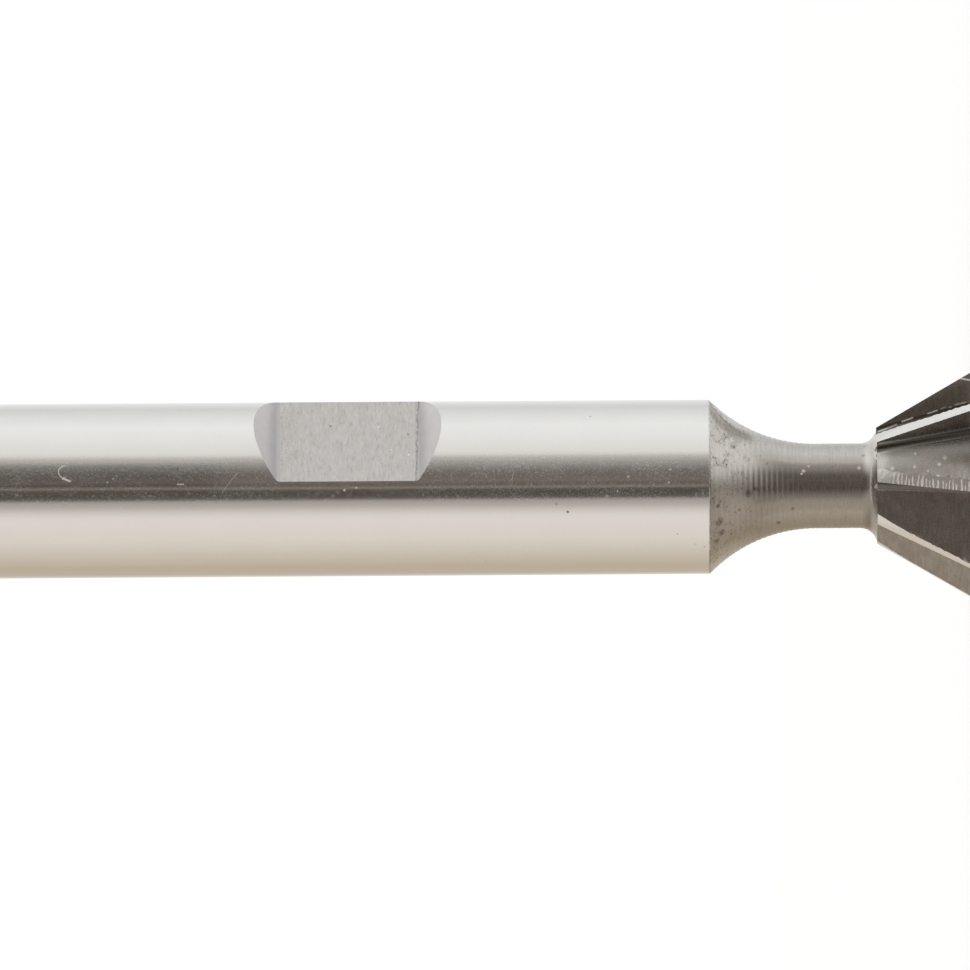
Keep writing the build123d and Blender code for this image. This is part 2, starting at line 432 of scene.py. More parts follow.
def ragged(bm):
    """Makes the lands' two long edges uneven, as the cutter that milled the gullets left them."""
    moves = []
    for v in bm.verts:
        if not 0.02 <= v.co.z <= HEAD_LENGTH - 0.02:
            continue
        kinds = {f.material_index for f in v.link_faces}
        if LAND not in kinds or kinds.isdisjoint(GULLET):
            continue
        land = next(f for f in v.link_faces if f.material_index == LAND)
        level = land.normal.cross(Vector((0, 0, 1))).normalized()
        if level.dot(Vector((-v.co.y, v.co.x, 0))) < 0:
            level = -level
        along = v.co.z * WAVERS_PER_MM
        roll = math.atan2(v.co.y, v.co.x) * WAVERS_PER_RADIAN
        rough = noise.noise(Vector((along, roll, 0.0)))
        rough += 0.6 * noise.noise(Vector((along * 2.7, roll, 7.0)))
        if RAKE in kinds:
            moves.append((v, level * (CUTTING_EDGE_WAVER * max(rough + 0.15, 0.0))))
        else:
            moves.append((v, level * (HEEL_WAVER * rough)))
    for v, move in moves:
        v.co += move


# The neck's turning grooves, which are deepest about one height and fade out away from it
GROOVE_PITCH = 0.29
GROOVE_HEIGHT = 0.0095
CHATTER_HEIGHT = 0.004
GROOVES_DEEPEST = 11.3
GROOVES_REACH = 2.2


def groove(z):
    """How far the turned neck's wall stands out at a height, from the tool's feed and its chatter."""
    fade = min(max((SHANK_START - 0.08 - z) / 0.3, 0.0), 1.0)
    fade *= min(max((z - NECK_START) / 0.4, 0.0), 1.0)
    swell = 0.5 + 0.5 * noise.noise(Vector((z * 0.8, 3.0, 0.0)))
    deep = 0.45 + 0.55 * math.exp(-(((z - GROOVES_DEEPEST) / GROOVES_REACH) ** 2))
    wave = GROOVE_HEIGHT * math.cos(2 * math.pi * z / GROOVE_PITCH) * (0.6 + swell)
    chatter = CHATTER_HEIGHT * noise.noise(Vector((z * 6.0, 0, 5.0)))
    return fade * deep * (wave + chatter)


# How finely the CAD mesh is cut: in degrees round the neck and the shank, along the neck, and over
# the head in layers and in a level grid
WALL_STEP = 3.0
RING_STEP = 0.06
HEAD_LAYER = 0.11
HEAD_LAYERS = 50
HEAD_GRID = 0.28

# The turn in degrees past which an edge between two faces looks sharp
SHARP_ANGLE = 28.0


def level_cut(z):
    """A level plane to cut along."""
    return (Vector((0, 0, z)), Vector((0, 0, 1)))


def cut_finely(bm):
    """Cuts the long faces up, so that they can carry the turned and milled finish."""
    slice_between(bm, -math.inf, HEAD_LENGTH + 0.7, [level_cut(HEAD_LENGTH)])
    around = []
    for i in range(round(180 / WALL_STEP)):
        turn = math.radians(WALL_STEP * (i + 0.5))
        around.append((Vector((0, 0, 0)), Vector((-math.sin(turn), math.cos(turn), 0))))
    slice_between(bm, HEAD_LENGTH - SLACK, math.inf, around)
    ring_count = int((SHANK_START - HEAD_LENGTH) / RING_STEP)
    rings = [level_cut(HEAD_LENGTH + RING_STEP * i) for i in range(1, ring_count + 1)]
    rings.append(level_cut(SHANK_START + EDGE_BREAK_LENGTH))
    before_flat = FLAT_CENTRE - FLAT_HALF_LENGTH - 0.28
    slice_between(bm, HEAD_LENGTH - SLACK, before_flat, rings)
    grid = [level_cut(HEAD_LAYER * i) for i in range(1, HEAD_LAYERS)]
    reach = int(RIM_RADIUS / HEAD_GRID)
    for direction in (Vector((1, 0, 0)), Vector((0, 1, 0))):
        grid += [(direction * (HEAD_GRID * i), direction) for i in range(-reach, reach + 1)]
    slice_between(bm, -math.inf, HEAD_LENGTH - SLACK, grid)


def true_radius(v, radius):
    """The radius of the round wall that a point belongs to, or None where it isn't on one."""
    z = v.co.z
    if abs(z - SHANK_START) < SLACK:
        return SHANK_RADIUS - EDGE_BREAK_DEPTH
    if SHANK_START <= z <= SHANK_END - SHANK_CHAMFER + SLACK:
        return SHANK_RADIUS if radius > SHANK_RADIUS - 0.03 else None
    if not HEAD_LENGTH + SLACK < z < SHANK_START:
        return None
    wall = profile(z)[0]
    if abs(radius - wall) > (0.05 if z > NECK_START - 0.5 else 0.02):
        return None
    if any(f.material_index in GULLET for f in v.link_faces):
        return None
    return wall + groove(z)


def make_cutter():
    """The tool's mesh, cut finer than the CAD one and trued up, with its marks and uneven edges."""
    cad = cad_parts["dovetail_cutter"]
    bm = bmesh.new()
    bm.from_mesh(cad.data)
    bmesh.ops.scale(bm, vec=(1 / MM,) * 3, verts=bm.verts)
    bmesh.ops.remove_doubles(bm, verts=bm.verts, dist=1e-4)
    cut_finely(bm)
    bm.normal_update()
    frames = tooth_frames()
    for face in bm.faces:
        face.material_index = kind_of(face, frames)
        face.smooth = True
    for v in bm.verts:
        radius = math.hypot(v.co.x, v.co.y)
        true = true_radius(v, radius)
        if true is not None:
            v.co.x *= true / radius
            v.co.y *= true / radius
    widen_lands(bm, frames)
    ragged(bm)
    bm.normal_update()
    mesh = bpy.data.meshes.new("cutter")
    bm.to_mesh(mesh)
    bm.free()
    mark_sharp(mesh, SHARP_ANGLE)
    set_normals(mesh)
    mesh.transform(Matrix.Scale(MM, 4))
    cutter = bpy.data.objects.new("cutter", mesh)
    bpy.context.scene.collection.objects.link(cutter)
    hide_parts("dovetail_cutter")
    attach(cutter, "root")
    return cutter


def mark_sharp(mesh, angle):
    """Marks the edges where the surface turns by more than an angle in degrees, or its finish ends."""
    limit = math.cos(math.radians(angle))
    by_edge = {}
    for polygon in mesh.polygons:
        for key in polygon.edge_keys:
            by_edge.setdefault(key, []).append(polygon)
    for edge in mesh.edges:
        sides = by_edge.get(edge.key, ())
        edge.use_edge_sharp = len(sides) == 2 and (
            sides[0].normal.dot(sides[1].normal) < limit
            or sides[0].material_index != sides[1].material_index
        )


def set_normals(mesh):
    """Gives the round walls and the rake faces their true normals, and leaves the rest to the mesh."""
    frames = tooth_frames()
    normals = [(0.0, 0.0, 0.0)] * len(mesh.loops)
    for polygon in mesh.polygons:
        kind = polygon.material_index
        if kind == RAKE:
            backward = min((pair[1] for pair in frames), key=polygon.normal.dot)
            for i in polygon.loop_indices:
                normals[i] = tuple(-backward)
            continue
        if kind not in (SHANK, NECK):
            continue
        middle = polygon.center
        radial = Vector((middle.x, middle.y, 0)).normalized()
        if kind == NECK:
            if middle.z < HEAD_LENGTH:
                continue
            turned = (radial - Vector((0, 0, profile(middle.z)[1]))).normalized()
            if middle.z < NECK_START and polygon.normal.dot(turned) < 0.97:
                continue
        for i in polygon.loop_indices:
            co = mesh.vertices[mesh.loops[i].vertex_index].co
            out = Vector((co.x, co.y, 0))
            if out.length < 1e-6:
                continue
            out.normalize()
            if kind == SHANK and polygon.normal.dot(radial) > 0.95:
                normals[i] = tuple(out)
            elif kind == NECK and polygon.normal.dot(radial) > 0.2:
                slope = profile(co.z)[1] + (groove(co.z + 0.01) - groove(co.z - 0.01)) / 0.02
                normals[i] = tuple(Vector((out.x, out.y, -slope)).normalized())
    mesh.normals_split_custom_set(normals)


class Look:
    """A steel material in the making, with texture coordinates in millimetres on the object."""

    def __init__(self, name):
        self.material = bpy.data.materials.new(name)
        self.material.use_nodes = True
        self.tree = self.material.node_tree
        self.shader = self.tree.nodes["Principled BSDF"]
        self.shader.inputs["Metallic"].default_value = 1.0
        where = node(self.tree, "ShaderNodeTexCoord")
        self.place = self.vector("SCALE", where.outputs["Object"], 1 / MM)

    def link(self, a, b):
        self.tree.links.new(a, b)

    def vector(self, operation, a, b):
        """Arithmetic on a vector and another, a tuple or, to scale it, a number."""
        made = node(self.tree, "ShaderNodeVectorMath", operation=operation)
        self.link(a, made.inputs[0])
        if operation == "SCALE":
            made.inputs["Scale"].default_value = b
        elif isinstance(b, tuple):
            made.inputs[1].default_value = b
        else:
            self.link(b, made.inputs[1])
        return made.outputs[0]

    def noise(self, stretch, detail=3.0, rough=0.55, seed=0.0):
        """Noise between 0 and 1 whose features are this many per millimetre along X, Y and Z."""
        moved = self.vector("ADD", self.vector("MULTIPLY", self.place, stretch), (seed, seed, seed))
        made = node(self.tree, "ShaderNodeTexNoise")
        self.link(moved, made.inputs["Vector"])
        made.inputs["Scale"].default_value = 1.0
        made.inputs["Detail"].default_value = detail
        made.inputs["Roughness"].default_value = rough
        return made.outputs["Fac"]

    def span(self, value, low, high, to_low=0.0, to_high=1.0, smooth=True):
        return span(self.tree, value, low, high, to_low, to_high, smooth)

    def vary(self, noise, to_low=0.0, to_high=1.0, smooth=True):
        """A range made from a noise, most of which lies between 0.3 and 0.7."""
        return self.span(noise, 0.3, 0.7, to_low, to_high, smooth)

    def blend(self, factor, a, b):
        return blend(self.tree, factor, a, b)

    def maths(self, operation, a, b=None, clamp=False):
        return maths(self.tree, operation, a, b, clamp)

    def plus(self, a, b):
        return self.maths("ADD", a, b)

    def minus(self, a, b):
        return self.maths("SUBTRACT", a, b)

    def times(self, a, b):
        return self.maths("MULTIPLY", a, b)

    def colour(self, value):
        self.link(value, self.shader.inputs["Base Color"])

    def roughness(self, value):
        self.link(value, self.shader.inputs["Roughness"])

    def bump(self, *layers):
        """Raises the surface by each layer's height in micrometres."""
        normal = None
        for height, micrometres in layers:
            made = node(self.tree, "ShaderNodeBump")
            made.inputs["Strength"].default_value = 1.0
            made.inputs["Distance"].default_value = micrometres * 1e-6
            self.link(height, made.inputs["Height"])
            if normal is not None:
                self.link(normal, made.inputs["Normal"])
            normal = made.outputs[0]
        self.link(normal, self.shader.inputs["Normal"])

    def axis(self, letter):
        """One coordinate in millimetres."""
        parts = node(self.tree, "ShaderNodeSeparateXYZ")
        self.link(self.place, parts.inputs[0])
        return parts.outputs[letter]

    def dot(self, vector, direction):
        """How far a vector reaches along a fixed direction."""
        made = node(self.tree, "ShaderNodeVectorMath", operation="DOT_PRODUCT")
        self.link(vector, made.inputs[0])
        made.inputs[1].default_value = direction
        return made.outputs["Value"]

    def along(self, direction):
        """How far each place lies along a direction from the tool's origin."""
        return self.dot(self.place, direction)

    def scaled(self, direction, amount):
        """A fixed direction times an amount."""
        made = node(self.tree, "ShaderNodeVectorMath", operation="SCALE")
        made.inputs[0].default_value = direction
        self.link(amount, made.inputs["Scale"])
        return made.outputs[0]

    def length(self, vector):
        """A vector's length."""
        made = node(self.tree, "ShaderNodeVectorMath", operation="LENGTH")
        self.link(vector, made.inputs[0])
        return made.outputs["Value"]

    def around(self, turn, inner, outer):
        """One within an angle in degrees of a direction from the camera's side, nought past another."""
        flat = self.vector("MULTIPLY", self.place, (1.0, 1.0, 0.0))
        made = node(self.tree, "ShaderNodeVectorMath", operation="NORMALIZE")
        self.link(flat, made.inputs[0])
        facing = TOWARDS_CAMERA + math.radians(turn)
        turned = self.dot(made.outputs[0], (math.cos(facing), math.sin(facing), 0.0))
        return self.span(turned, math.cos(math.radians(outer)), math.cos(math.radians(inner)))

    def behind(self, number):
        """One behind a tooth's heel, as far as the next tooth."""
        frames = tooth_frames()
        past = self.span(self.along(frames[number][1]), 1.1, 1.4)
        before = self.span(self.along(frames[(number + 1) % TOOTH_COUNT][1]), 0.9, 0.8)
        return self.times(past, before)

    def darken(self, steel, factor):
        """The steel's colour times a grey."""
        made = node(self.tree, "ShaderNodeMix", data_type="RGBA", blend_type="MULTIPLY")
        made.inputs["Factor"].default_value = 1.0
        self.link(steel, made.inputs[6])
        self.link(factor, made.inputs[7])
        return made.outputs[2]

    def openness(self, distance):
        """How open a place is to its surroundings within a distance, from nought to one."""
        made = node(self.tree, "ShaderNodeAmbientOcclusion", samples=8)
        made.inputs["Distance"].default_value = distance * MM
        return made.outputs["AO"]

    def from_point(self, point):
        """How far each place is from a point."""
        return self.length(self.vector("SUBTRACT", self.place, tuple(point)))

    def from_stroke(self, start, end):
        """How far each place is from the straight line between two points."""
        return self.length(self.off_stroke(self.place, start, end))

    def flattened(self):
        """Each place, moved along the camera's line to the upright plane through the axis."""
        parts = [self.scaled(axis, self.along(axis)) for axis in ((0.0, 0.0, 1.0), tuple(ABOVE))]
        return self.vector("ADD", *parts)

    def beside_point(self, x, y):
        """How far each place is from a pixel of the photograph, whatever its depth."""
        return self.length(self.vector("SUBTRACT", self.flattened(), tuple(on_upright(x, y))))

    def beside_stroke(self, start, end):
        """How far each place is from a line between two pixels, whatever its depth."""
        return self.length(self.off_stroke(self.flattened(), on_upright(*start), on_upright(*end)))

    def off_stroke(self, place, start, end):
        """The step to a place from the nearest point of the straight line between two points."""
        line = Vector(end) - Vector(start)
        offset = self.vector("SUBTRACT", place, tuple(start))
        share = self.maths("ADD", self.dot(offset, line / line.length_squared), 0.0, clamp=True)
        return self.vector("SUBTRACT", offset, self.scaled(line, share))

    def within(self, distance, reach, soft=0.35):
        """One where a distance is under a reach, fading out to nought just past it."""
        return self.span(distance, reach * (1 - soft), reach * (1 + soft), 1.0, 0.0)

    def spot(self, point, reach, soft=0.35):
        """One on a round spot about a point, fading out to nought at its edge."""
        return self.within(self.from_point(point), reach, soft)

    def spots(self, marks, place, soft=0.35):
        """One on each of several spots, given as pixels and radii on what a function finds there."""
        return self.any_of([self.spot(place(x, y), size, soft) for x, y, size in marks])

    def any_of(self, masks):
        """The strongest of several masks."""
        total = masks[0]
        for mask in masks[1:]:
            total = self.maths("MAXIMUM", total, mask)
        return total

    def dirt_and_painted_light(self, mask, colour, base):
        """Lays a matt coat over the steel, for dust and marks and for painted light, which shows its own
        colour there and no metal.
        """
        self.link(self.minus(1.0, mask), self.shader.inputs["Metallic"])
        return self.blend(mask, base, colour)


# Marks on the shank, as the pixel's x and y and the mark's radius, and for a dark one its strength
DARK_SPECKS = (
    (567.2, 511.5, 0.07, 0.85),
    (555.8, 503.6, 0.075, 0.35),
    (590.5, 416.4, 0.06, 0.35),
    (676.5, 533.6, 0.045, 0.5),
    (703.8, 546.4, 0.07, 0.25),
    (694.0, 544.0, 0.08, 0.15),
    (485.2, 560.7, 0.05, 0.2),
    (179.0, 468.5, 0.05, 0.7),
)
PALE_FLECKS = (
    (627.8, 476.3, 0.06),
    (669.9, 469.2, 0.065),
    (668.2, 481.8, 0.06),
    (543.4, 457.3, 0.05),
    (617.0, 490.8, 0.05),
    (606.4, 495.3, 0.07),
    (109.3, 482.0, 0.05),
    (114.5, 478.5, 0.04),
    (345.0, 490.0, 0.07),
    (357.0, 487.5, 0.06),
)
BROWN_SMEARS = (
    (701.5, 492.5, 0.16),
    (696.5, 494.0, 0.11),
    (706.0, 491.5, 0.10),
    (333.0, 496.0, 0.12),
    (338.5, 492.0, 0.10),
    (327.0, 499.0, 0.09),
    (350.0, 494.0, 0.11),
    (18.0, 494.0, 0.13),
    (458.0, 496.0, 0.08),
)

# A fibre on the shank: the pixel that it curls round, the curl's radius, and the ends of its tail
FIBRE_CENTRE = (66.3, 471.7)
FIBRE_RADIUS = 0.33
FIBRE_TAIL = ((64.5, 478.2), (71.5, 480.8))

# Scratches on the shank, as the pixels at their ends, their half width and their strength
SCRATCHES = (
    ((239.0, 472.0), (228.0, 485.3), 0.028, 0.22),
    ((228.0, 485.3), (223.4, 492.4), 0.028, 0.22),
    ((179.0, 484.2), (184.5, 484.0), 0.045, 0.5),
    ((512.0, 480.0), (513.5, 470.5), 0.028, 0.22),
)


def shank_dust(look, mottle):
    """Dust on the shank's dark side: a patchy layer and grains, most of them towards its end."""
    patch = look.noise((0.9, 0.9, 0.6), 3.0, 0.6, 31.0)
    uneven = look.vary(patch, -0.05, 0.05)
    film_and_painted_light = look.span(look.plus(mottle, uneven), 0.42, 0.72, 0.0, 0.075)
    dust = look.noise((9.0, 9.0, 9.0), 2.0, 0.5, 21.0)
    upper_side = look.times(look.around(17, 5, 11), 0.075)
    towards_end = look.span(look.axis("Z"), FLAT_CENTRE + 6.0, FLAT_CENTRE + 9.0, 0.0, 0.035)
    density = look.plus(look.plus(dust, uneven), look.plus(upper_side, towards_end))
    grains = look.span(density, 0.585, 0.74, 0.0, 0.15)
    return look.times(look.any_of([film_and_painted_light, grains]), look.around(6.5, 13.5, 19.0))


def shank_fibre(look):
    """A fibre that lies on the shank: half a ring and a straight tail."""
    centre = on_shank(*FIBRE_CENTRE)
    curl = look.maths("ABSOLUTE", look.minus(look.from_point(centre), FIBRE_RADIUS))
    open_side = look.span(look.axis("Z"), centre[2] - 0.12, centre[2])
    ring = look.times(look.times(look.within(curl, 0.03, 0.6), open_side), 0.7)
    tail = look.from_stroke(*(on_shank(*end) for end in FIBRE_TAIL))
    return look.any_of([ring, look.times(look.within(tail, 0.055, 0.5), 0.8)])


def shank_litter(look, mottle):
    """Pale flecks, scratches and brown smears on the shank."""
    crumbs = look.span(look.noise((16.0, 16.0, 16.0), 2.0, 0.6, 51.0), 0.4, 0.6, 0.1, 0.75)
    patchy = look.span(mottle, 0.35, 0.65, 0.02, 0.2)
    marks = [
        look.times(look.spots(PALE_FLECKS, on_shank, 0.7), crumbs),
        look.times(look.spots(BROWN_SMEARS, on_shank, 0.8), patchy),
    ]
    for start, end, width, strength in SCRATCHES:
        line = look.from_stroke(on_shank(*start), on_shank(*end))
        marks.append(look.times(look.within(line, width, 0.7), strength))
    return look.any_of(marks)


def ground_shank(look):
    """Bright steel with fine grinding marks round it, painted shade and a painted highlight towards its
    end, and what has settled on it.
    """
    streak = look.noise((1.6, 1.6, 26.0), 4.0, 0.65)
    fine = look.noise((5.0, 5.0, 90.0), 2.0, 0.6, 11.0)
    ripple = look.noise((8.0, 8.0, 12.0), 3.0, 0.6, 17.0)
    cloud = look.noise((0.5, 0.5, 0.35), 3.0, 0.6, 5.0)
    mottle = look.noise((5.5, 5.5, 5.5), 3.0, 0.7, 61.0)
    tint = look.plus(look.vary(streak, -0.05, 0.05), look.span(cloud, 0.35, 0.65, 0.45, 0.55))
    steel = look.blend(tint, (0.735, 0.73, 0.72), (0.83, 0.83, 0.825))
    wall_end = SHANK_END - SHANK_CHAMFER
    round_wall = look.span(look.axis("Z"), wall_end, wall_end - 0.1)
    # Towards the shank's end, painted shade darkens the band that faces the camera and a painted
    # highlight lightens a thin line beside it
    far_end = look.span(look.axis("Z"), FLAT_CENTRE + 5.0, FLAT_CENTRE + 9.0)
    dull_and_painted_light = look.times(look.around(8.3, 6, 11), 0.28)
    painted_glare = look.times(look.around(1.65, 0.5, 1.2), 0.25)
    change = look.times(look.times(far_end, round_wall), look.minus(painted_glare, dull_and_painted_light))
    steel = look.darken(steel, look.plus(change, 1.0))
    dust = look.times(shank_dust(look, mottle), round_wall)
    pale = look.any_of([dust, shank_fibre(look), shank_litter(look, mottle)])
    dusty = look.dirt_and_painted_light(pale, (0.60, 0.54, 0.475), steel)
    dark = []
    for x, y, size, strength in DARK_SPECKS:
        dark.append(look.times(look.spot(on_shank(x, y), size), strength))
    look.colour(look.blend(look.any_of(dark), dusty, (0.12, 0.10, 0.09)))
    look.roughness(look.vary(fine, 0.04, 0.085))
    look.bump((streak, 1.0), (ripple, 1.6), (fine, 0.3))


# Dots on the flat's floor, as the pixel's x and y and the dot's radius, and the line that it is worn
# along, as the pixels at its ends
FLAT_DARK_DOTS = (
    (331.0, 426.0, 0.07),
    (418.5, 403.5, 0.09),
    (273.0, 413.5, 0.10),
    (408.5, 434.0, 0.06),
)
FLAT_BRIGHT_DOTS = (
    (379.0, 426.5, 0.06),
    (409.0, 454.5, 0.06),
    (392.0, 449.5, 0.04),
)
FLAT_WORN = ((287.0, 418.0), (286.0, 462.0))


def flat_point(x, y):
    """The point of the flat's floor that the photograph shows at a pixel."""
    return on_plane(x, y, Vector((0, -1, 0)), SHANK_RADIUS - FLAT_DEPTH)


def milled_flat(look):
    """Matt steel that the mill left with light and dark dashes along it, partly painted highlight and
    shade, worn near one end.
    """
    peel = look.noise((1.2, 1.2, 4.5), 2.0, 0.55)
    dash = look.noise((2.2, 2.2, 9.0), 2.0, 0.5, 14.0)
    grain = look.noise((12.0, 12.0, 22.0), 2.0, 0.6, 3.0)
    cloud = look.noise((0.9, 0.9, 1.3), 2.0, 0.5, 8.0)
    # The peel and dash tones follow the same noises as the bumps: the mill's marks, with their painted
    # highlight and painted shade
    tint = look.plus(look.vary(peel, -0.22, 0.22), look.vary(cloud, 0.35, 0.65))
    steel = look.blend(tint, (0.555, 0.537, 0.523), (0.645, 0.63, 0.618))
    steel = look.blend(look.span(dash, 0.57, 0.66, 0.0, 0.3), steel, (0.76, 0.745, 0.725))
    steel = look.blend(look.span(dash, 0.33, 0.42, 0.45, 0.0), steel, (0.44, 0.42, 0.40))
    worn = look.within(look.from_stroke(*(flat_point(*end) for end in FLAT_WORN)), 0.6, 0.7)
    pits = look.times(look.span(grain, 0.56, 0.64), worn)
    steel = look.blend(look.times(pits, 0.75), steel, (0.38, 0.365, 0.31))
    bright = look.spots(FLAT_BRIGHT_DOTS, flat_point)
    steel = look.blend(look.times(bright, 0.8), steel, (0.95, 0.94, 0.92))
    dark = look.spots(FLAT_DARK_DOTS, flat_point)
    look.colour(look.blend(look.times(dark, 0.7), steel, (0.16, 0.145, 0.13)))
    look.roughness(look.vary(grain, 0.38, 0.55))
    look.bump((peel, 20.0), (dash, 14.0), (grain, 4.0))


# Where the ragged dark line along the flat's corner lies, painted shade of the groove that the mill left
# there, from the flat's middle, and how much it slants across the flat
CORNER_LINE = -3.8
CORNER_SLANT = 0.022


def ground_slope(look):
    """The flat's sloping ends, finer than its floor, with painted shade in the corners and a painted dark
    line along one.
    """
    cloud = look.noise((1.6, 1.6, 1.6), 3.0, 0.55, 2.0)
    streak = look.noise((2.0, 9.0, 9.0), 3.0, 0.6, 6.0)
    tint = look.plus(look.vary(streak, -0.1, 0.1), look.vary(cloud, 0.3, 0.7))
    steel = look.blend(tint, (0.665, 0.65, 0.65), (0.745, 0.73, 0.728))
    along = look.minus(look.axis("Z"), FLAT_CENTRE)
    outer = look.maths("ABSOLUTE", along)
    # Painted shade in the concave corners where the slopes meet the floor
    steel = look.darken(steel, look.span(outer, 3.95, 4.5, 0.82, 1.0))
    steel = look.darken(steel, look.span(outer, 3.9, 4.0, 0.9, 1.0))
    # A ragged dark line along the corner, painted shade of the mill's groove
    jag = look.noise((3.0, 3.0, 3.0), 3.0, 0.65, 24.0)
    wander = look.vary(jag, CORNER_LINE - 0.08, CORNER_LINE + 0.08, False)
    slanted = look.plus(along, look.times(look.axis("X"), CORNER_SLANT))
    line = look.within(look.maths("ABSOLUTE", look.minus(slanted, wander)), 0.045, 0.7)
    cut = look.times(line, look.span(look.noise((6.0, 6.0, 6.0)), 0.35, 0.6, 0.25, 0.8))
    look.colour(look.blend(cut, steel, (0.24, 0.22, 0.20)))
    look.roughness(look.vary(streak, 0.36, 0.46))
    look.bump((streak, 5.0), (cloud, 4.0))


# Dark stains on the neck, as the pixel's x and y and the stain's radius
NECK_STAINS = (
    (718.5, 521.5, 0.24),
    (721.0, 532.0, 0.20),
    (716.5, 540.0, 0.14),
    (747.5, 493.0, 0.20),
    (733.0, 446.5, 0.13),
    (717.0, 505.5, 0.12),
    (778.0, 522.5, 0.12),
    (738.5, 509.5, 0.09),
    (868.0, 516.5, 0.12),
    (755.0, 488.5, 0.11),
    (792.0, 508.5, 0.09),
    (715.0, 409.0, 0.18),
    (719.0, 414.5, 0.20),
    (725.5, 421.0, 0.20),
    (732.5, 427.0, 0.17),
    (739.0, 431.5, 0.14),
    (712.0, 404.5, 0.17),
    (722.0, 417.5, 0.20),
    (729.0, 424.5, 0.20),
    (736.0, 429.5, 0.16),
    (744.0, 434.0, 0.12),
    (866.0, 445.5, 0.16),
    (863.5, 455.0, 0.12),
)

# A smear along the sweep's upper side, as the pixels that it passes, and pale specks on the neck
NECK_SMEAR = ((710.0, 406.0), (713.0, 413.5), (719.5, 421.5), (729.5, 429.5), (745.0, 435.5))
NECK_PALE_SPECKS = (
    (803.0, 470.5, 0.10),
    (808.0, 466.0, 0.07),
    (858.5, 467.5, 0.10),
    (801.0, 473.5, 0.07),
)


def on_neck(x, y):
    """The point of the neck's wall that the photograph shows at a pixel."""
    return on_wall(x, y, max(profile(height_on_tool(x))[0], abs(height_above_axis(x, y)) + 0.01))


def neck_coat_and_painted_light(look, height, steel):
    """Darkens the low side with a brown coat that is partly painted shade, adds painted shade round the
    band that faces the camera and a painted highlight on the sweep, and lightens the neck near the shank.
    """
    # Darker and browner towards the low side: partly a brown coat, partly painted shade
    film_and_painted_light = look.span(look.along(LOW_SIDE), -0.9, 1.6, 0.0, 0.62)
    steel = look.blend(film_and_painted_light, steel, (0.31, 0.285, 0.25))
    on_sweep = look.span(height, SWEEP_START + 1.6, SWEEP_START + 3.6)
    # Lighter towards the shank
    shoulder = look.span(height, SWEEP_START + 2.4, SHANK_START - 0.2, 0.0, 0.5)
    steel = look.blend(shoulder, steel, (0.80, 0.77, 0.73))
    # Browner and darker on the sweep's low side, partly painted shade
    brown = look.times(look.around(-26, 14, 40), look.times(on_sweep, 0.62))
    steel = look.blend(brown, steel, (0.30, 0.26, 0.22))
    # Painted shade over the band that faces the camera
    straight = look.span(height, SWEEP_START + 4.0, SWEEP_START + 2.2, 0.0, 0.5)
    painted_band_shade = look.times(look.around(8, 22, 44), straight)
    steel = look.blend(painted_band_shade, steel, (0.33, 0.30, 0.26))
    # More painted shade on the band's low side before the cone
    before_cone = look.span(height, SWEEP_START + 4.2, SWEEP_START + 3.0, 0.0, 0.42)
    shaded = look.times(look.around(-20, 5, 20), before_cone)
    steel = look.blend(shaded, steel, (0.24, 0.22, 0.19))
    # Darker painted shade along the band's edges
    before_sweep = look.span(height, SWEEP_START + 3.7, SWEEP_START + 2.9)
    upper = look.times(look.around(21, 4, 14), 0.55)
    lower = look.times(look.around(-10, 3, 11), 0.3)
    band_edges = look.times(look.any_of([upper, lower]), before_sweep)
    steel = look.blend(band_edges, steel, (0.16, 0.145, 0.12))
    # A painted highlight on the sweep's upper side
    painted_sweep_highlight = look.times(look.around(17, 7, 20), look.times(on_sweep, 0.35))
    return look.blend(painted_sweep_highlight, steel, (0.80, 0.77, 0.73))


def neck_marks(look, height, streak, grit, steel):
    """Lays blotches, light turning lines, specks, stains and a smear over the neck."""
    blot = look.noise((1.7, 1.7, 1.7), 3.0, 0.6, 12.0)
    blotched = look.times(look.span(blot, 0.5, 0.66), look.span(height, 11.5, 13.5, 0.0, 0.45))
    steel = look.blend(blotched, steel, (0.33, 0.30, 0.26))
    line = look.times(look.span(streak, 0.58, 0.68), 0.28)
    steel = look.blend(line, steel, (0.82, 0.80, 0.77))
    near_shank = look.span(height, SWEEP_START + 1.5, SHANK_START - 0.3, 0.0, 0.07)
    patchy = look.span(blot, 0.35, 0.65, -0.05, 0.04)
    gritty = look.plus(look.plus(grit, near_shank), patchy)
    specks = look.span(gritty, 0.665, 0.715, 0.0, 0.8)
    steel = look.blend(specks, steel, (0.12, 0.10, 0.085))
    stains = look.spots(NECK_STAINS, on_neck, 0.6)
    stained = look.times(stains, look.span(grit, 0.35, 0.55, 0.25, 0.9))
    steel = look.blend(stained, steel, (0.14, 0.12, 0.10))
    smeared = []
    for start, end in zip(NECK_SMEAR, NECK_SMEAR[1:]):
        smeared.append(look.within(look.from_stroke(on_neck(*start), on_neck(*end)), 0.46, 0.6))
    smear = look.times(look.any_of(smeared), look.span(grit, 0.35, 0.6, 0.5, 0.95))
    return look.blend(smear, steel, (0.30, 0.27, 0.235))


